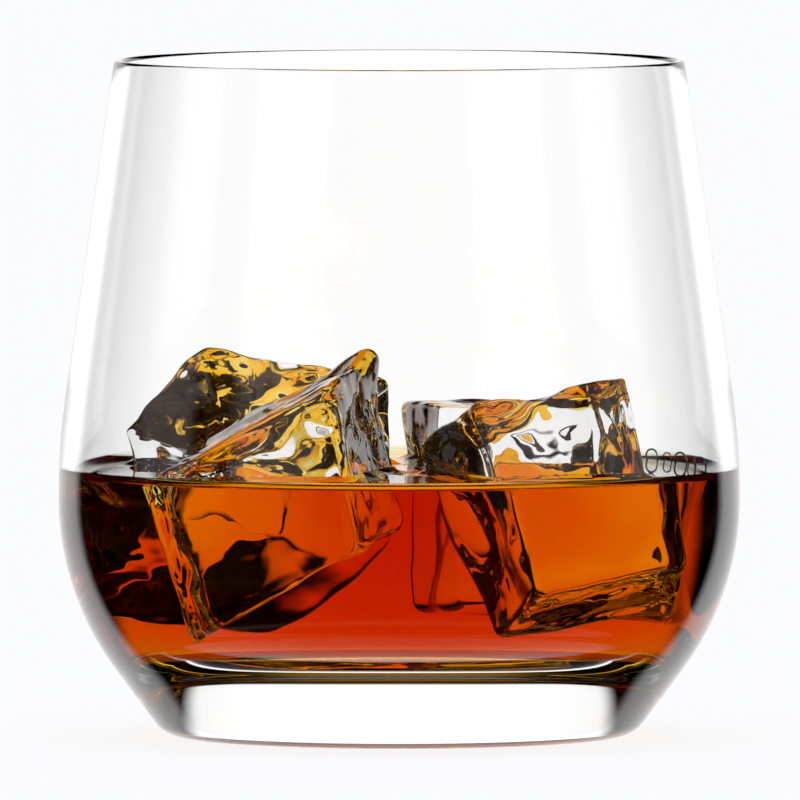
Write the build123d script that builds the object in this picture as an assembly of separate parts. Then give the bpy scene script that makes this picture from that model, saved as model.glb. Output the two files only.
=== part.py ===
from build123d import *
import os
from math import asin, atan2, cos, hypot, sin

os.makedirs("parts", exist_ok=True)

# A whiskey tumbler with its drink: a glass with a heavy base, whisky, and four ice cubes.
# Millimetres. +Z is up, the origin is the centre of the ring the glass stands on, -Y is the front.

# ---- the glass, outside ----
height = 89.6
rim_radius = 37.8
belly_radius = 45.2
belly_height = 31.6
foot_radius = 31.1  # where the taper would meet the table
foot_rounding = 4.5
ring_width = 5.6  # from there in to the inside edge of the ring that the glass stands on
punt_depth = 1.5  # hollow of the underside, at its centre

# The wall is an arc at the belly and a straight run at each end. These say how the two share it:
# at 1 it would be all straight, and at 2 all arc.
shoulder_share = 1.141
heel_share = 1.516

# ---- the glass, inside ----
rim_wall = 1.2
belly_wall = 2.0
inner_belly_height = 33.6
inner_shoulder_share = 1.152
bowl_radius = 19.4  # the rounding between the inner wall and the floor
floor_height = 12.6  # floor of the bowl above the table, at its centre
floor_rise = 0.6  # the floor is a shallow dish, and would be this much higher at the wall

# ---- the whisky ----
liquid_level = 34.4
wetting_gap = 0.3  # between the whisky and each ice cube

# ---- the ice ----
ice_rounding = 2.2
ice_taper = 0.85  # the far end of a cube beside its top, as a tray moulds it
ice_reach = 43.2  # the cubes below are placed for a hollow of this radius,
ice_depth = 21.8  # and for a drink this deep

# Each cube: the top corner nearest the front, measured from the axis and from the level of the drink,
# then the edges that run from it to the back left and to the right, and the way down to its far end.
ICE = {
    "ice_cube_left": ((-26.2, 6.5, 17.6), (-12.0, 9.5, -13.0), (25.0, 9.5, -5.3), (4.0, -2.5, -20.0)),
    "ice_cube_centre": ((-9.0, -26.5, 13.6), (-23.0, 3.5, -13.0), (5.7, 23.0, 3.3), (6.0, 5.0, -21.5)),
    "ice_cube_right": ((9.5, -24.0, 10.8), (-8.0, 18.0, -7.0), (21.1, 12.0, 4.0), (6.0, -2.0, -24.0)),
    "ice_cube_rear": ((5.0, 9.0, 8.7), (-5.0, 17.5, -1.0), (22.0, 4.0, -0.7), (-1.0, -2.0, -23.5)),
}


def tangent_point(centre, radius, point, side):
    """Where a line from point touches the circle: side is 1 or -1 for the two tangents."""
    away = hypot(point[0] - centre[0], point[1] - centre[1])
    bearing = atan2(point[1] - centre[1], point[0] - centre[0])
    swing = asin((away**2 - radius**2) ** 0.5 / away)
    angle = bearing + side * swing
    return (centre[0] + radius * cos(angle), centre[1] + radius * sin(angle))


def arc(centre, radius, start, end):
    """The short arc of the circle from start to end."""
    first = atan2(start[1] - centre[1], start[0] - centre[0])
    last = atan2(end[1] - centre[1], end[0] - centre[0])
    half_way = (first + last) / 2
    middle = (centre[0] + radius * cos(half_way), centre[1] + radius * sin(half_way))
    return ThreePointArc(start, middle, end)


def dish(depth, edge_radius, level):
    """A shallow arc from the axis to edge_radius: it is level on the axis, and falls by depth."""
    radius = (edge_radius**2 + depth**2) / (2 * abs(depth))
    up = 1 if depth < 0 else -1
    centre = (0, level + up * radius)
    return arc(centre, radius, (0, level), (edge_radius, level - depth))


def arc_radius(across, along, share):
    """The radius of the arc that leaves an upright wall and meets a straight run to a point."""
    slope = share * atan2(across, along)
    return (along * sin(slope) - across * cos(slope)) / (1 - cos(slope))


def shoulder(widest_radius, widest_height, rim, share):
    """The wall above its widest place: an arc, then a straight run up to the rim."""
    widest = (widest_radius, widest_height)
    rounding = arc_radius(widest_radius - rim[0], rim[1] - widest_height, share)
    centre = (widest_radius - rounding, widest_height)
    end = tangent_point(centre, rounding, rim, -1)
    return [arc(centre, rounding, widest, end), Line(end, rim)]


def corner_at(face, radius):
    """The corner of a half section that is furthest down at this radius."""
    return face.vertices().filter_by(lambda v: abs(v.X - radius) < 0.001).sort_by(Axis.Y)[0]


def outside_section():
    """Half the section of the glass as if it were solid, with the punt under it."""
    rim = (rim_radius, height)
    belly = (belly_radius, belly_height)
    foot = (foot_radius, 0)
    heel_radius = arc_radius(belly_radius - foot_radius, belly_height, heel_share)
    ring_inner_radius = foot_radius - ring_width
    heel_centre = (belly_radius - heel_radius, belly_height)
    taper_top = tangent_point(heel_centre, heel_radius, foot, 1)
    lines = shoulder(belly_radius, belly_height, rim, shoulder_share)
    lines.append(arc(heel_centre, heel_radius, belly, taper_top))
    lines.append(Line(taper_top, foot))
    lines.append(Line(foot, (ring_inner_radius, 0)))
    lines.append(dish(punt_depth, ring_inner_radius, punt_depth))
    lines.append(Line((0, punt_depth), (0, height)))
    lines.append(Line((0, height), rim))
    section = make_face(Curve() + lines)
    return fillet(corner_at(section, foot_radius), foot_rounding)


def inside_section():
    """Half the section of the hollow of the glass."""
    rim = (rim_radius - rim_wall, height)
    wall_radius = belly_radius - belly_wall
    floor_edge = floor_height + floor_rise
    lines = shoulder(wall_radius, inner_belly_height, rim, inner_shoulder_share)
    lines.append(Line((wall_radius, inner_belly_height), (wall_radius, floor_edge)))
    lines.append(dish(-floor_rise, wall_radius, floor_height))
    lines.append(Line((0, floor_height), (0, height)))
    lines.append(Line((0, height), rim))
    section = make_face(Curve() + lines)
    room = inner_belly_height - floor_edge - 0.5
    return fillet(corner_at(section, wall_radius), min(bowl_radius, room))


def turned(section):
    """The solid that a half section sweeps about the axis of the glass."""
    return revolve(Plane.XZ * section, Axis.Z)


def glass_tumbler(hollow):
    """One piece of glass: thin at the rim, heavy at the base, with a fire-polished rim."""
    body = turned(outside_section()) - hollow
    lip = body.edges().filter_by(GeomType.CIRCLE).group_by(Axis.Z)[-1]
    return fillet(lip, rim_wall * 0.45)


def ice_cube(corner, back, right, down, growth=0.0):
    """A tapered cube of ice with melted edges. Growth makes it larger on every side."""
    fit = min((belly_radius - belly_wall) / ice_reach, (liquid_level - floor_height) / ice_depth)
    corner, back, right, down = (Vector(v) * fit for v in (corner, back, right, down))
    corner += Vector(0, 0, liquid_level)
    top_middle = corner + (back + right) / 2
    top = [corner, corner + back, corner + back + right, corner + right]
    end = [top_middle + down + (p - top_middle) * ice_taper for p in top]
    centre = top_middle + down / 2
    swell = 1 + 2 * growth / min(back.length, right.length, down.length)
    faces = [Face(Wire.make_polygon([centre + (p - centre) * swell for p in ring])) for ring in (top, end)]
    block = loft(faces, ruled=True)
    return fillet(block.edges(), ice_rounding)


hollow = turned(inside_section())
below_level = Cylinder(2 * belly_radius, liquid_level, align=(Align.CENTER, Align.CENTER, Align.MIN))
whisky = hollow & below_level
for edges in ICE.values():
    whisky -= ice_cube(*edges, growth=wetting_gap)

export_step(glass_tumbler(hollow), "parts/glass_tumbler.step")
export_step(whisky, "parts/whisky.step")
for name, edges in ICE.items():
    export_step(ice_cube(*edges), f"parts/{name}.step")
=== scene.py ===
# %% [markdown]
# # A tumbler of whisky on ice
# The object is a bellied tumbler in clear glass, part filled with whisky, with four cubes of ice in it.
# Almost nothing of it has a colour of its own. What the eye sees is bent light: a bright wall behind
# the glass, a dark room on either side, and amber wherever the light went through whisky. So the
# lesson is mostly about closed, smooth, correctly nested surfaces, and about light.

# %% The frame
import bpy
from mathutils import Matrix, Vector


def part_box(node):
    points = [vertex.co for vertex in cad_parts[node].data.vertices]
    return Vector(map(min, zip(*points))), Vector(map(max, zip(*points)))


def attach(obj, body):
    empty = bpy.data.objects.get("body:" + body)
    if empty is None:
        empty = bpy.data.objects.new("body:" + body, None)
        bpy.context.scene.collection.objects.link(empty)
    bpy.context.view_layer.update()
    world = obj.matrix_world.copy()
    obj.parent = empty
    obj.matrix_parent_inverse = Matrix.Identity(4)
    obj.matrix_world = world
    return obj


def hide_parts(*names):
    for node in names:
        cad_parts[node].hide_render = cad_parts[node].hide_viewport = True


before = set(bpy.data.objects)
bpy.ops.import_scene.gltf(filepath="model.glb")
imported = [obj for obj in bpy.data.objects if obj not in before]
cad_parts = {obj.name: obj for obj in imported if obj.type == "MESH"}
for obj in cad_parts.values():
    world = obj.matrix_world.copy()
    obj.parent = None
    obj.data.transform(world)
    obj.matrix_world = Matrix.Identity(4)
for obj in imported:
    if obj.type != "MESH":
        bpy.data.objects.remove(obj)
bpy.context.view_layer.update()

import math

import bpy
import numpy as np
from mathutils import Vector, noise
from mathutils.bvhtree import BVHTree

MM = 0.001
glass_low, glass_high = (np.array(corner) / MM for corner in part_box("glass_tumbler"))
whisky_low, whisky_high = (np.array(corner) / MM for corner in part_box("whisky"))
height = glass_high[2]
belly_radius = glass_high[0]
liquid_level = whisky_high[2]
print("glass", height, "mm high, whisky up to", liquid_level, "mm")

# %% [markdown]
# ## The camera
# Product photographers stand far back with a long lens, so that the rim and the base keep nearly the
# same perspective. The viewer's eye is only a few degrees above the table.

# %% The camera
VIEW_DISTANCE = 3500.0
VIEW_ELEVATION = math.radians(2.82)
VIEW_WIDTH = 105.96
VIEW_CENTRE = Vector((0.1, 0.0, 44.5)) * MM
SENSOR = 36.0

camera = bpy.data.objects.new("camera", bpy.data.cameras.new("camera"))
bpy.context.scene.collection.objects.link(camera)
toward_eye = Vector((0, -math.cos(VIEW_ELEVATION), math.sin(VIEW_ELEVATION)))
camera.location = VIEW_CENTRE + toward_eye * VIEW_DISTANCE * MM
camera.rotation_euler = (-toward_eye).to_track_quat("-Z", "Y").to_euler()
camera.data.sensor_width = SENSOR
camera.data.lens = SENSOR * VIEW_DISTANCE / VIEW_WIDTH
camera.data.clip_start, camera.data.clip_end = 0.05, 50.0
bpy.context.scene.camera = camera
print("lens", round(camera.data.lens), "mm")

# %% [markdown]
# ## Helpers for node trees and colours
# Every material and every Geometry Nodes tree below is built with one small function, which adds a
# node, sets its options, and either links or sets each input.

# %% Helpers
def add(tree, kind, inputs=None, **settings):
    """Adds a node. An input given as a socket is linked, and any other value is set."""
    node = tree.nodes.new(kind)
    for name, value in settings.items():
        setattr(node, name, value)
    for key, value in (inputs or {}).items():
        if isinstance(value, bpy.types.NodeSocket):
            tree.links.new(value, node.inputs[key])
        else:
            node.inputs[key].default_value = value
    return node


def hex_colour(code):
    """An sRGB hex colour as the linear RGBA that Blender's shaders work in."""
    parts = [int(code[i : i + 2], 16) / 255 for i in (1, 3, 5)]
    linear = [p / 12.92 if p <= 0.04045 else ((p + 0.055) / 1.055) ** 2.4 for p in parts]
    return (*linear, 1.0)


def mix_colours(tree, share, first, second, blend_type="MIX"):
    """Mixes two colours. The colour sockets of this node are its inputs 6 and 7 and its output 2."""
    inputs = {0: share, 6: first, 7: second}
    return add(tree, "ShaderNodeMix", inputs, data_type="RGBA", blend_type=blend_type).outputs[2]


def new_material(name):
    """An empty material with its output, ready for nodes."""
    material = bpy.data.materials.new(name)
    material.use_nodes = True
    material.node_tree.nodes.clear()
    output = material.node_tree.nodes.new("ShaderNodeOutputMaterial")
    return material, material.node_tree, output


# %% [markdown]
# ## Glass
# Soda-lime glass with a fire-polished surface: clear, with an index of refraction of 1.52. Where the
# whisky wets it, light goes from glass to whisky and not to air, so the inner face below the drink's
# surface bends light by the ratio of the two, only 1.52 / 1.36. That is why a filled glass looks like
# one solid lens.

# %% The two glass surfaces
GLASS_INDEX = 1.52
WHISKY_INDEX = 1.36
ICE_INDEX = 1.52  # picked: real ice has 1.31
ICE_IN_WHISKY = 1.26  # picked: real ice in whisky has about 0.96


def glass_surface(name, index):
    """Fire-polished glass against air, or against whatever the index is a ratio to."""
    material, tree, output = new_material(name)
    shader = add(tree, "ShaderNodeBsdfGlass", {"Color": (1, 1, 1, 1), "Roughness": 0.0, "IOR": index})
    tree.links.new(shader.outputs[0], output.inputs["Surface"])
    return material


dry_glass = glass_surface("soda_lime_glass_fire_polished", GLASS_INDEX)
wet_glass = glass_surface("soda_lime_glass_wetted_by_whisky", GLASS_INDEX / WHISKY_INDEX)

# %% [markdown]
# ## Whisky
# A clear liquid that takes blue light out within a few millimetres, green within a few centimetres,
# and red hardly at all. That one fact gives every colour in the glass: straw where the light crosses
# a little whisky, orange where it crosses more, and deep red across the whole width. Its upper
# surface is a mirror and a lens like any water surface. Its other faces only say where the whisky
# ends, so they are plainly transparent: the glass and the ice do the bending there.

# %% Whisky material
ABSORBED_PER_METRE = (9.0, 56.0, 280.0)


def whisky_material():
    """Absorption inside, a refracting face on top, and an open face against glass and ice."""
    material, tree, output = new_material("whisky_cask_aged")
    skin = add(tree, "ShaderNodeAttribute", attribute_name="skin")
    open_face = add(tree, "ShaderNodeBsdfTransparent")
    surface = add(tree, "ShaderNodeBsdfGlass", {"Roughness": 0.0, "IOR": WHISKY_INDEX})
    faces = {0: skin.outputs["Fac"], 1: open_face.outputs[0], 2: surface.outputs[0]}
    either = add(tree, "ShaderNodeMixShader", faces)
    strongest = max(ABSORBED_PER_METRE)
    passed = [1 - a / strongest for a in ABSORBED_PER_METRE]
    inside = add(tree, "ShaderNodeVolumeAbsorption", {"Color": (*passed, 1.0), "Density": strongest})
    tree.links.new(either.outputs[0], output.inputs["Surface"])
    tree.links.new(inside.outputs[0], output.inputs["Volume"])
    return material


whisky = whisky_material()

# %% [markdown]
# ## Ice
# Clear ice with a melted, gently rippled surface. Only the step in index between two clear bodies
# bends light, so a wet face needs another number than a dry one. The switch is made at the level of
# the drink, by height in the world, so a cube that is lifted out looks dry. Both numbers are stronger
# than real ice has, to make the facets stand out. They are a choice for the look: take real values
# for anything that has to be physically right.

# %% Ice material
def ice_material():
    """Ice in air above the drink's level, ice in whisky below it."""
    material, tree, output = new_material("clear_ice_melting")
    place = add(tree, "ShaderNodeNewGeometry")
    height_of = add(tree, "ShaderNodeSeparateXYZ", {0: place.outputs["Position"]})
    heights = {0: height_of.outputs["Z"], 1: liquid_level * MM}
    above = add(tree, "ShaderNodeMath", heights, operation="GREATER_THAN")
    wet = add(tree, "ShaderNodeBsdfGlass", {"Roughness": 0.0, "IOR": ICE_IN_WHISKY})
    dry = add(tree, "ShaderNodeBsdfGlass", {"Roughness": 0.0, "IOR": ICE_INDEX})
    either = add(tree, "ShaderNodeMixShader", {0: above.outputs[0], 1: wet.outputs[0], 2: dry.outputs[0]})
    tree.links.new(either.outputs[0], output.inputs["Surface"])
    return material


ice = ice_material()

# %% [markdown]
# ## The section of the glass
# The glass is a body of revolution, so its whole shape is one outline: out along the underside, up
# the outer wall, over the rim, and down the inside to the floor of the bowl. The outline is arcs and
# straight runs that meet smoothly, worked out from a few sizes.

# %% Sizes of the section
rim_radius = 37.8
belly_height = 31.6
shoulder_radius = 100.0
heel_radius = 38.0
foot_radius = 31.1
foot_rounding = 4.5
ring_inner_radius = 25.5
punt_depth = 1.5
rim_wall = 1.2
inner_radius = belly_radius - 2.0
inner_belly_height = 33.6
inner_shoulder_radius = 110.0
bowl_radius = 19.4
floor_height = whisky_low[2]
floor_rise = 0.6


def tangent_point(centre, radius, point, side):
    """Where a line from point touches the circle; side is 1 or -1 for the two tangents."""
    away = math.dist(point, centre)
    bearing = math.atan2(point[1] - centre[1], point[0] - centre[0])
    angle = bearing + side * math.acos(radius / away)
    return (centre[0] + radius * math.cos(angle), centre[1] + radius * math.sin(angle))


def arc(centre, start, end, count):
    """Points along the short arc about centre from start to end, both included."""
    radius = math.dist(centre, start)
    first = math.atan2(start[1] - centre[1], start[0] - centre[0])
    last = math.atan2(end[1] - centre[1], end[0] - centre[0])
    turn = (last - first + math.pi) % (2 * math.pi) - math.pi
    angles = first + turn * np.linspace(0, 1, count)
    return [(centre[0] + radius * math.cos(a), centre[1] + radius * math.sin(a)) for a in angles]


def run(start, end, count):
    """Points along a straight line, both ends included."""
    return [tuple(p) for p in np.linspace(start, end, count)]


def rounded(before, corner, after, radius, count):
    """An arc that rounds the corner between two straight lines."""
    corner = np.array(corner)
    one = np.array(before) - corner
    other = np.array(after) - corner
    one, other = one / np.linalg.norm(one), other / np.linalg.norm(other)
    half = math.acos(one @ other) / 2
    middle = (one + other) / np.linalg.norm(one + other)
    centre = corner + middle * radius / math.sin(half)
    reach = radius / math.tan(half)
    return arc(centre, corner + one * reach, corner + other * reach, count)


# %% The outline, outside and inside
def outer_outline():
    """From the axis under the glass, out and up to the rim."""
    rim = (rim_radius, height)
    belly = (belly_radius, belly_height)
    foot = (foot_radius, 0.0)
    punt_curve = (ring_inner_radius**2 + punt_depth**2) / (2 * punt_depth)
    heel_centre = (belly_radius - heel_radius, belly_height)
    taper_top = tangent_point(heel_centre, heel_radius, foot, 1)
    shoulder_centre = (belly_radius - shoulder_radius, belly_height)
    shoulder_end = tangent_point(shoulder_centre, shoulder_radius, rim, -1)
    ring_edge = (ring_inner_radius, 0.0)
    points = arc((0.0, punt_depth - punt_curve), (0.0, punt_depth), ring_edge, 24)
    foot_bend = rounded(ring_edge, foot, taper_top, foot_rounding, 14)
    points += foot_bend
    points += run(foot_bend[-1], taper_top, 8)[1:]
    points += arc(heel_centre, taper_top, belly, 26)[1:]
    points += arc(shoulder_centre, belly, shoulder_end, 16)[1:]
    return points + run(shoulder_end, rim, 14)[1:]


def inner_outline():
    """From the rim down the inside to the axis at the floor of the bowl."""
    rim = (rim_radius - rim_wall, height)
    widest = (inner_radius, inner_belly_height)
    shoulder_centre = (inner_radius - inner_shoulder_radius, inner_belly_height)
    shoulder_end = tangent_point(shoulder_centre, inner_shoulder_radius, rim, -1)
    dish = (inner_radius**2 + floor_rise**2) / (2 * floor_rise)
    reach = inner_radius - bowl_radius
    bowl_height = floor_height + dish - math.sqrt((dish - bowl_radius) ** 2 - reach**2)
    bowl_centre = (reach, bowl_height)
    share = dish / (dish - bowl_radius)
    bowl_end = (reach * share, floor_height + dish + (bowl_height - floor_height - dish) * share)
    points = run(rim, shoulder_end, 30)
    points += arc(shoulder_centre, shoulder_end, widest, 16)[1:]
    points += run(widest, (inner_radius, bowl_height), 3)[1:]
    points += arc(bowl_centre, (inner_radius, bowl_height), bowl_end, 40)[1:]
    return points + arc((0.0, floor_height + dish), bowl_end, (0.0, floor_height), 14)[1:]


def outline():
    """The closed section of the glass, with its lip rounded like a melted edge."""
    outside, inside = outer_outline(), inner_outline()
    lip = rim_wall * 0.45
    upper_left = rounded(outside[-2], outside[-1], inside[0], lip, 7)
    upper_right = rounded(outside[-1], inside[0], inside[1], lip, 7)
    return outside[:-1] + upper_left + upper_right + inside[1:]


def inner_radius_at(level):
    """The radius of the hollow at a height."""
    inside = inner_outline()[::-1]
    return float(np.interp(level, [p[1] for p in inside], [p[0] for p in inside]))


section = outline()
inside_at_drink = round(inner_radius_at(liquid_level), 2)
print("section has", len(section), "points; inside radius at the drink", inside_at_drink)

# %% [markdown]
# ## Turning a section into a solid
# Spinning an outline is a rule, so Geometry Nodes do it: the outline is swept round a small circle
# about the axis. The circle's size cancels out, because the outline is drawn that much nearer the
# axis. Merging the points on the axis closes the two poles.

# %% The turning tree
TURN_CIRCLE = 10.0


def turning_tree():
    """Sweeps a section, drawn as a chain of edges, round the Z axis."""
    tree = bpy.data.node_groups.new("turn_a_section", "GeometryNodeTree")
    tree.interface.new_socket("Geometry", in_out="INPUT", socket_type="NodeSocketGeometry")
    tree.interface.new_socket("Segments", in_out="INPUT", socket_type="NodeSocketInt")
    tree.interface.new_socket("Circle radius", in_out="INPUT", socket_type="NodeSocketFloat")
    tree.interface.new_socket("Material", in_out="INPUT", socket_type="NodeSocketMaterial")
    tree.interface.new_socket("Geometry", in_out="OUTPUT", socket_type="NodeSocketGeometry")
    given = add(tree, "NodeGroupInput").outputs
    chain = add(tree, "GeometryNodeMeshToCurve", {"Mesh": given["Geometry"]})
    ring = {"Resolution": given["Segments"], "Radius": given["Circle radius"]}
    circle = add(tree, "GeometryNodeCurvePrimitiveCircle", ring)
    swept = {"Curve": circle.outputs["Curve"], "Profile Curve": chain.outputs["Curve"]}
    sweep = add(tree, "GeometryNodeCurveToMesh", swept)
    closed = add(tree, "GeometryNodeMergeByDistance", {"Geometry": sweep.outputs[0], "Distance": 1e-6})
    real = add(tree, "GeometryNodeRealizeInstances", {"Geometry": closed.outputs[0]})
    painted = {"Geometry": real.outputs[0], "Material": given["Material"]}
    paint = add(tree, "GeometryNodeSetMaterial", painted)
    add(tree, "NodeGroupOutput", {0: paint.outputs[0]})
    return tree


def run_tree(tree, name, mesh, values):
    """Runs a Geometry Nodes tree on a mesh and returns the result as a plain mesh object."""
    piece = bpy.data.objects.new(name, mesh)
    bpy.context.scene.collection.objects.link(piece)
    modifier = piece.modifiers.new("nodes", "NODES")
    modifier.node_group = tree
    for item in tree.interface.items_tree:
        if item.in_out == "INPUT" and item.name in values:
            modifier[item.identifier] = values[item.name]
    evaluated = piece.evaluated_get(bpy.context.evaluated_depsgraph_get())
    result = bpy.data.meshes.new_from_object(evaluated)
    piece.modifiers.remove(modifier)
    piece.data = result
    result.name = name
    return piece


def face_outwards(mesh):
    """Turns every face the right way out and makes the shading smooth."""
    import bmesh
    work = bmesh.new()
    work.from_mesh(mesh)
    bmesh.ops.dissolve_degenerate(work, dist=1e-7, edges=work.edges)
    bmesh.ops.recalc_face_normals(work, faces=work.faces)
    if work.calc_volume(signed=True) < 0:
        bmesh.ops.reverse_faces(work, faces=work.faces)
    work.to_mesh(mesh)
    work.free()
    mesh.shade_smooth()


turning = turning_tree()


def turned(name, points, segments, material):
    """A section, in millimetres, as a closed solid of revolution in metres."""
    chain = bpy.data.meshes.new(name)
    places = [((r - TURN_CIRCLE) * MM, -z * MM, 0.0) for r, z in points]
    chain.from_pydata(places, [(i, i + 1) for i in range(len(places) - 1)], [])
    values = {"Segments": segments, "Circle radius": TURN_CIRCLE * MM, "Material": material}
    piece = run_tree(turning, name, chain, values)
    face_outwards(piece.data)
    return piece


# %% The glass
GLASS_SEGMENTS = 256
meniscus_rise = 1.3

tumbler = turned("tumbler", section, GLASS_SEGMENTS, dry_glass)
tumbler.data.materials.clear()
tumbler.data.materials.append(dry_glass)
tumbler.data.materials.append(wet_glass)
for face in tumbler.data.polygons:
    centre = face.center / MM
    radius = math.hypot(centre.x, centre.y)
    inside = radius < inner_radius + 0.2 and centre.z > floor_height - 0.1
    wall_here = inner_radius_at(centre.z) + 0.3 if centre.z > floor_height else inner_radius
    face.material_index = int(inside and radius < wall_here and centre.z < liquid_level + meniscus_rise)
print("glass:", len(tumbler.data.polygons), "faces")

# %% [markdown]
# ## Ice cubes
# A cube from a tray starts as a block with six flat faces and melts from there: corners first, then
# edges, while the faces sag a little and ripple. Each cube is mapped from a finely divided unit cube.
# The corners of the real block are listed, the edges are rounded in the unit cube, and the
# melting is smooth noise that moves points along the surface's own normal.

# %% A melted block
def unit_cube(divisions, rounding):
    """Points and faces of a cube from -1 to 1, rounded, with its grid closer near the edges."""
    steps = np.linspace(-1, 1, divisions + 1)
    steps = 0.55 * steps + 0.45 * np.sin(steps * math.pi / 2)
    points, faces, known = [], [], {}

    def index_of(point):
        key = tuple(round(c, 6) for c in point)
        if key not in known:
            known[key] = len(points)
            points.append(point)
        return known[key]

    for axis in range(3):
        for side in (-1, 1):
            grid = np.empty((divisions + 1, divisions + 1), int)
            for i, u in enumerate(steps):
                for j, v in enumerate(steps):
                    point = [0.0, 0.0, 0.0]
                    point[axis], point[(axis + 1) % 3], point[(axis + 2) % 3] = side, u, v
                    grid[i, j] = index_of(point)
            for i in range(divisions):
                for j in range(divisions):
                    quad = [grid[i, j], grid[i + 1, j], grid[i + 1, j + 1], grid[i, j + 1]]
                    faces.append(quad if side > 0 else quad[::-1])
    flat = np.array(points)
    core = np.clip(flat, rounding - 1, 1 - rounding)
    out = flat - core
    length = np.linalg.norm(out, axis=1, keepdims=True)
    return flat, core + rounding * out / np.maximum(length, 1e-9), faces


def in_block(unit, corners):
    """Maps unit cube points into the block with these eight corners."""
    weight = [(1 - unit) / 2, (1 + unit) / 2]
    place = np.zeros((len(unit), 3))
    for k, corner in enumerate(corners):
        a, b, c = k >> 2, (k >> 1) & 1, k & 1
        share = weight[a][:, 0] * weight[b][:, 1] * weight[c][:, 2]
        place += share[:, None] * np.array(corner)
    return place


def block_corners(corner, back, right, down, taper):
    """The eight corners: along back, then right, then down, the far end smaller by taper."""
    corner, back, right, down = (np.array(v, float) for v in (corner, back, right, down))
    middle = corner + (back + right) / 2
    found = []
    for along in (0, 1):
        for across in (0, 1):
            top = corner + back * along + right * across
            found += [top, middle + down + (top - middle) * taper]
    return found


def melted_block(name, corners, rounding, sag, ripple, dents, seed, divisions=64):
    """A block of ice with melted edges, sagging faces, ripples and dents, as an object in metres."""
    flat, unit, faces = unit_cube(divisions, rounding)
    places = in_block(unit, corners)
    mesh = bpy.data.meshes.new(name)
    mesh.from_pydata(places.tolist(), [], faces)
    face_outwards(mesh)
    normals = np.array([v.normal for v in mesh.vertices])
    inner = np.sort(np.abs(flat), axis=1)
    dish = (1 - inner[:, 0] ** 2) * (1 - inner[:, 1] ** 2)
    pushed = sag * dish
    for centre, radius, depth in dents:
        away = np.linalg.norm(places - np.array(centre), axis=1)
        pushed += depth * np.exp(-((away / radius) ** 2))
    for vertex, place, normal, push in zip(mesh.vertices, places, normals, pushed):
        at = Vector(place) + Vector((seed * 37.0, seed * 11.0, -seed * 23.0))
        wave = noise.noise(at / 9.0) + 0.35 * noise.noise(at / 4.0) + 0.05 * noise.noise(at / 1.6)
        vertex.co = Vector(place + normal * (ripple * wave - push)) * MM
    mesh.update()
    block = bpy.data.objects.new(name, mesh)
    bpy.context.scene.collection.objects.link(block)
    mesh.materials.append(ice)
    return block


# %% The four cubes
ICE_TAPER = 0.85
CUBES = {
    "left": ((-26.2, 6.5, 17.6), (-12.0, 9.5, -13.0), (25.0, 9.5, -5.3), (4.0, -2.5, -20.0)),
    "centre": ((-9.0, -26.5, 13.6), (-23.0, 3.5, -13.0), (5.7, 23.0, 3.3), (6.0, 5.0, -21.5)),
    "right": ((9.5, -24.0, 10.8), (-8.0, 18.0, -7.0), (21.1, 12.0, 4.0), (6.0, -2.0, -24.0)),
    "rear": ((5.0, 9.0, 8.7), (-5.0, 17.5, -1.0), (22.0, 4.0, -0.7), (-1.0, -2.0, -23.5)),
}
DENTS = {
    "left": [((-14.0, 8.0, 48.0), 5.0, 0.9), ((-34.0, 8.0, 38.0), 5.0, 1.5)],
    "centre": [((-20.5, -24.5, 36.0), 3.6, 3.0), ((-13.0, -22.0, 30.0), 7.0, 1.0)],
    "right": [((18.6, -18.0, 46.5), 4.0, 1.8), ((20.0, -19.0, 34.0), 7.0, 0.8)],
    "rear": [((14.0, 9.0, 40.0), 5.0, 1.0)],
}
cubes = {}
for seed, (name, edges) in enumerate(CUBES.items()):
    corner, *sides = edges
    corner = (corner[0], corner[1], corner[2] + liquid_level)
    corners = block_corners(corner, *sides, ICE_TAPER)
    cubes[name] = melted_block(f"ice_{name}", corners, 0.13, 0.7, 0.9, DENTS[name], seed + 1)
    print(cubes[name].name, len(cubes[name].data.polygons), "faces")

# %% [markdown]
# ## The drink
# The whisky fills the glass from the floor of the bowl to its level, and climbs a little up the glass
# and up every cube: the meniscus. It is built as one closed solid, with the surface as a fine polar
# grid whose height follows the distance to the nearest wall. A Boolean then cuts out the ice, a hair
# larger than the cubes, so that no two surfaces touch.

# %% The body of whisky
WALL_CLEARANCE = 0.02
ICE_CLEARANCE = 0.03
MENISCUS_WIDTH = 1.1
CLIMB_ON_ICE = 0.75
SURFACE_SEGMENTS = 360


def surface_radii(edge):
    """Rings of the surface from the axis to the wall, closer where the meniscus curves."""
    near_wall = edge - np.array([0.0, 0.06, 0.14, 0.25, 0.4, 0.6, 0.85, 1.2, 1.6, 2.1, 2.7, 3.4, 4.2])
    inner = np.arange(0.5, edge - 4.6, 0.5)
    return np.concatenate([inner, near_wall[::-1]])


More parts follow.
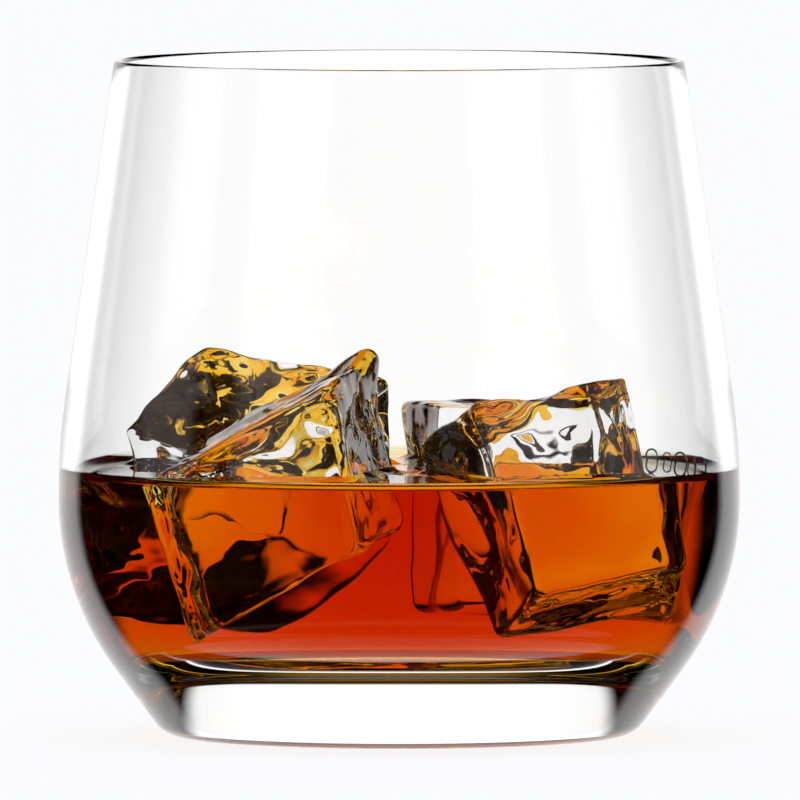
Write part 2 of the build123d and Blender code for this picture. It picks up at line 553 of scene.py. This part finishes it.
def whisky_body():
    """The drink before the ice is cut out of it: slot 0 is its walls, and slot 1 its surface."""
    contact = liquid_level + meniscus_rise
    wall = [p for p in inner_outline() if p[1] < contact]
    wall = [(inner_radius_at(contact), contact)] + wall
    wall = [(max(r - WALL_CLEARANCE, 0.0), z + (WALL_CLEARANCE if z < 14 else 0)) for r, z in wall][::-1]
    edge = wall[-1][0]
    angles = np.arange(SURFACE_SEGMENTS) * 2 * math.pi / SURFACE_SEGMENTS
    ice_tree = BVHTree.FromPolygons(
        [v.co / MM for o in cubes.values() for v in o.data.vertices], joined_faces(cubes.values())
    )
    points, faces, slots = [(0, 0, wall[0][1])], [], []
    for r, z in wall[1:]:
        points += [(r * math.cos(a), r * math.sin(a), z) for a in angles]
    for r in surface_radii(edge)[-2::-1]:
        for a in angles:
            x, y = r * math.cos(a), r * math.sin(a)
            climb = math.exp((r - edge) / MENISCUS_WIDTH)
            away = ice_tree.find_nearest((x, y, liquid_level + 0.4))[3]
            climb = max(climb, CLIMB_ON_ICE * math.exp(-away / MENISCUS_WIDTH))
            points.append((x, y, liquid_level + meniscus_rise * climb))
    points.append((0, 0, points[-1][2]))
    rings = (len(points) - 2) // SURFACE_SEGMENTS
    for k in range(SURFACE_SEGMENTS):
        after = (k + 1) % SURFACE_SEGMENTS
        faces.append((0, 1 + after, 1 + k))
        slots.append(0)
        for ring in range(rings - 1):
            low, high = 1 + ring * SURFACE_SEGMENTS, 1 + (ring + 1) * SURFACE_SEGMENTS
            faces.append((low + k, low + after, high + after, high + k))
            slots.append(int(ring >= len(wall) - 2))
        last = 1 + (rings - 1) * SURFACE_SEGMENTS
        faces.append((last + k, last + after, len(points) - 1))
        slots.append(1)
    mesh = bpy.data.meshes.new("drink")
    mesh.from_pydata([tuple(c * MM for c in p) for p in points], [], faces)
    for _ in range(3):
        mesh.materials.append(whisky)
    mesh.polygons.foreach_set("material_index", slots)
    mesh.update()
    return mesh


def joined_faces(objects):
    """The faces of several meshes as one list, with their indices shifted."""
    faces, start = [], 0
    for piece in objects:
        faces += [[start + i for i in f.vertices] for f in piece.data.polygons]
        start += len(piece.data.vertices)
    return faces


def swollen(piece, by):
    """A copy of a mesh with every point moved out along its normal."""
    mesh = piece.data.copy()
    normals = [v.normal.copy() for v in mesh.vertices]
    for vertex, normal in zip(mesh.vertices, normals):
        vertex.co += normal * by * MM
    mesh.materials.clear()
    for _ in range(3):
        mesh.materials.append(whisky)
    for face in mesh.polygons:
        face.material_index = 2
    return mesh


def cut(target, meshes):
    """Takes closed meshes out of the target, and puts the result in the target's mesh."""
    for mesh in meshes:
        tool = bpy.data.objects.new("mould", mesh)
        bpy.context.scene.collection.objects.link(tool)
        modifier = target.modifiers.new("cut", "BOOLEAN")
        modifier.operation, modifier.object, modifier.solver = "DIFFERENCE", tool, "MANIFOLD"
        evaluated = target.evaluated_get(bpy.context.evaluated_depsgraph_get())
        result = bpy.data.meshes.new_from_object(evaluated)
        target.modifiers.remove(modifier)
        target.data = result
        bpy.data.objects.remove(tool)


drink = bpy.data.objects.new("drink", whisky_body())
bpy.context.scene.collection.objects.link(drink)
face_outwards(drink.data)
print("drink before the ice:", len(drink.data.polygons), "faces")
cut(drink, [swollen(c, ICE_CLEARANCE) for c in cubes.values()])
skin = drink.data.attributes.new("skin", "FLOAT", "FACE")
skin.data.foreach_set("value", [float(f.material_index == 1) for f in drink.data.polygons])
drink.data.polygons.foreach_set("material_index", [0] * len(drink.data.polygons))
drink.data.materials.clear()
drink.data.materials.append(whisky)
drink.data.shade_smooth()
print("drink with the ice cut out:", len(drink.data.polygons), "faces, skin", sum(d.value for d in skin.data))

# %% [markdown]
# ## Bubbles
# Pouring leaves a short row of bubbles on the surface, held against the glass by the meniscus. Each
# is a thin skin that shines only where it is seen edge on. A row along an arc, with sizes that differ,
# is a rule again: one small ball, placed by Geometry Nodes.

# %% A row of bubbles
BUBBLE_RADIUS = 0.95


def bubble_film():
    """A skin of liquid: clear face on, shining edge on."""
    material, tree, output = new_material("whisky_bubble_film")
    edge_on = add(tree, "ShaderNodeFresnel", {"IOR": WHISKY_INDEX})
    clear = add(tree, "ShaderNodeBsdfTransparent")
    shine = add(tree, "ShaderNodeBsdfGlossy", {"Color": (1, 1, 1, 1), "Roughness": 0.03})
    film = add(tree, "ShaderNodeMixShader", {0: edge_on.outputs[0], 1: clear.outputs[0], 2: shine.outputs[0]})
    tree.links.new(film.outputs[0], output.inputs["Surface"])
    return material


def bubble_tree():
    """Balls of differing size along a level arc about the Z axis."""
    tree = bpy.data.node_groups.new("row_of_bubbles", "GeometryNodeTree")
    tree.interface.new_socket("Geometry", in_out="INPUT", socket_type="NodeSocketGeometry")
    for name in ("Count", "Seed"):
        tree.interface.new_socket(name, in_out="INPUT", socket_type="NodeSocketInt")
    for name in ("Arc radius", "Height", "Start", "Sweep", "Bubble radius"):
        tree.interface.new_socket(name, in_out="INPUT", socket_type="NodeSocketFloat")
    tree.interface.new_socket("Material", in_out="INPUT", socket_type="NodeSocketMaterial")
    tree.interface.new_socket("Geometry", in_out="OUTPUT", socket_type="NodeSocketGeometry")
    given = add(tree, "NodeGroupInput").outputs
    line = {"Resolution": given["Count"], "Radius": given["Arc radius"]}
    line.update({"Start Angle": given["Start"], "Sweep Angle": given["Sweep"]})
    row = add(tree, "GeometryNodeCurveArc", line)
    lift = add(tree, "ShaderNodeCombineXYZ", {"Z": given["Height"]})
    lifted = add(tree, "GeometryNodeSetPosition", {"Geometry": row.outputs[0], "Offset": lift.outputs[0]})
    round_one = {"Segments": 32, "Rings": 16, "Radius": given["Bubble radius"]}
    ball = add(tree, "GeometryNodeMeshUVSphere", round_one)
    size = add(tree, "FunctionNodeRandomValue", {2: 0.6, 3: 1.1, "Seed": given["Seed"]}, data_type="FLOAT")
    placed = {"Points": lifted.outputs[0], "Instance": ball.outputs["Mesh"], "Scale": size.outputs[1]}
    balls = add(tree, "GeometryNodeInstanceOnPoints", placed)
    real = add(tree, "GeometryNodeRealizeInstances", {"Geometry": balls.outputs[0]})
    paint = add(tree, "GeometryNodeSetMaterial", {"Geometry": real.outputs[0], "Material": given["Material"]})
    add(tree, "NodeGroupOutput", {0: paint.outputs[0]})
    return tree


row = {"Count": 6, "Seed": 4, "Arc radius": (inner_radius_at(liquid_level) - 1.5) * MM}
row.update({"Height": (liquid_level + 0.7) * MM, "Start": math.radians(13.0), "Sweep": math.radians(27.0)})
row.update({"Bubble radius": BUBBLE_RADIUS * MM, "Material": bubble_film()})
bubbles = run_tree(bubble_tree(), "bubbles", bpy.data.meshes.new("bubbles"), row)
face_outwards(bubbles.data)
print("bubbles:", len(bubbles.data.polygons), "faces")

# %% [markdown]
# ## Light
# The glass is lit from behind, as clear things are: a wide, low white wall stands behind it, and the
# room around it is dark. Light that goes straight through is white, and light that the edges and the
# ice bend aside comes from the dark, which draws the outline and the black facets. A dim soft light
# overhead, a little blue, lies on the upper faces of the ice. Seen from other sides the glass would
# stand against the dark room, so pale light waits there too: light that crossed only glass and drink
# finds all of it, and light that also crossed the ice finds little. All of this is painted on the
# world, by direction. The floor is a plain pale disc for the eye.

# %% The world
WALL_HALF_WIDTH = 40.0
WALL_TOP = 14.0
WALL_EDGE = 4.0
WALL_STRENGTH = 1.15
SIDE_STRENGTH = 0.7
TABLE_STRENGTH = 0.3
AFTER_ICE = 0.05
COOL_LIGHT = "#8E90A8"


def build_world():
    """White wall behind, dark room with pale light for the other views, dim cool light overhead."""
    world = bpy.data.worlds.new("studio")
    bpy.context.scene.world = world
    world.use_nodes = True
    tree = world.node_tree
    tree.nodes.clear()
    direction = add(tree, "ShaderNodeTexCoord").outputs["Generated"]
    axes = add(tree, "ShaderNodeSeparateXYZ", {0: direction}).outputs
    azimuth = add(tree, "ShaderNodeMath", {0: axes["X"], 1: axes["Y"]}, operation="ARCTAN2").outputs[0]
    aside = add(tree, "ShaderNodeMath", {0: azimuth}, operation="ABSOLUTE").outputs[0]
    rise = add(tree, "ShaderNodeMath", {0: axes["Z"]}, operation="ARCSINE").outputs[0]
    path = add(tree, "ShaderNodeLightPath").outputs

    def ramp(value, start, end):
        limits = {"Value": value, "From Min": math.radians(start), "From Max": math.radians(end)}
        return add(tree, "ShaderNodeMapRange", limits, interpolation_type="SMOOTHSTEP").outputs[0]

    def both(operation, *values):
        result = values[0]
        for value in values[1:]:
            result = add(tree, "ShaderNodeMath", {0: result, 1: value}, operation=operation).outputs[0]
        return result

    def band(value, low, high, soft):
        return both("MULTIPLY", ramp(value, low - soft, low + soft), ramp(value, high + soft, high - soft))

    across = ramp(aside, WALL_HALF_WIDTH + WALL_EDGE, WALL_HALF_WIDTH - WALL_EDGE)
    wall = both("MULTIPLY", across, ramp(rise, WALL_TOP + WALL_EDGE, WALL_TOP - WALL_EDGE), WALL_STRENGTH)
    crossed_ice = both("GREATER_THAN", path["Transmission Depth"], 4.5)
    kept = both("SUBTRACT", 1.0, both("MULTIPLY", crossed_ice, 1.0 - AFTER_ICE))
    kept = both("MULTIPLY", kept, path["Is Transmission Ray"])
    sides = both("MAXIMUM", band(aside, 78, 102, 4), band(aside, 120, 150, 4))
    sides = both("MULTIPLY", sides, band(rise, -20, 25, 4), kept, SIDE_STRENGTH)
    table = both("MULTIPLY", ramp(rise, -18, -24), kept, TABLE_STRENGTH)
    white = both("MAXIMUM", wall, sides, table)
    overhead = mix_colours(tree, ramp(rise, 50.0, 70.0), (0, 0, 0, 1), hex_colour(COOL_LIGHT))
    grey = add(tree, "ShaderNodeCombineColor", {0: white, 1: white, 2: white}).outputs[0]
    lit = mix_colours(tree, 1.0, grey, overhead, blend_type="ADD")
    seen = mix_colours(tree, path["Is Camera Ray"], lit, (1.0, 1.0, 1.0, 1.0))
    shine = add(tree, "ShaderNodeBackground", {"Color": seen, "Strength": 1.0})
    add(tree, "ShaderNodeOutputWorld", {"Surface": shine.outputs[0]})


build_world()

# %% The floor
FLOOR_RADIUS = 6.0


def build_floor():
    """A plain pale disc. Light that has gone through the glass passes it by and meets the world."""
    material, tree, output = new_material("pale_studio_floor")
    glow = add(tree, "ShaderNodeEmission", {"Color": (1, 1, 1, 1), "Strength": 0.9})
    matt = add(tree, "ShaderNodeBsdfDiffuse", {"Color": (0.8, 0.8, 0.8, 1)})
    both = add(tree, "ShaderNodeAddShader", {0: glow.outputs[0], 1: matt.outputs[0]})
    tree.links.new(both.outputs[0], output.inputs["Surface"])
    around = np.linspace(0, 2 * math.pi, 96, endpoint=False)
    rim = [(FLOOR_RADIUS * math.cos(a), FLOOR_RADIUS * math.sin(a), -0.0002) for a in around]
    mesh = bpy.data.meshes.new("floor")
    mesh.from_pydata(rim, [], [list(range(len(rim)))])
    mesh.materials.append(material)
    floor = bpy.data.objects.new("floor", mesh)
    bpy.context.scene.collection.objects.link(floor)
    floor.visible_transmission = False
    floor.visible_glossy = False
    return floor


floor = build_floor()

# %% Render settings that belong to glass
scene = bpy.context.scene
scene.view_settings.view_transform = "Standard"
scene.cycles.max_bounces = 40
scene.cycles.transmission_bounces = 40
scene.cycles.glossy_bounces = 16
scene.cycles.transparent_max_bounces = 40
scene.cycles.sample_clamp_indirect = 0.0

# %% Each piece rides on its body
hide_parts("glass_tumbler")
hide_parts("whisky")
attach(tumbler, "glass")
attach(drink, "glass")
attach(bubbles, "glass")
for name, cube in cubes.items():
    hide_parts(f"ice_cube_{name}")
    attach(cube, f"{name}_ice")
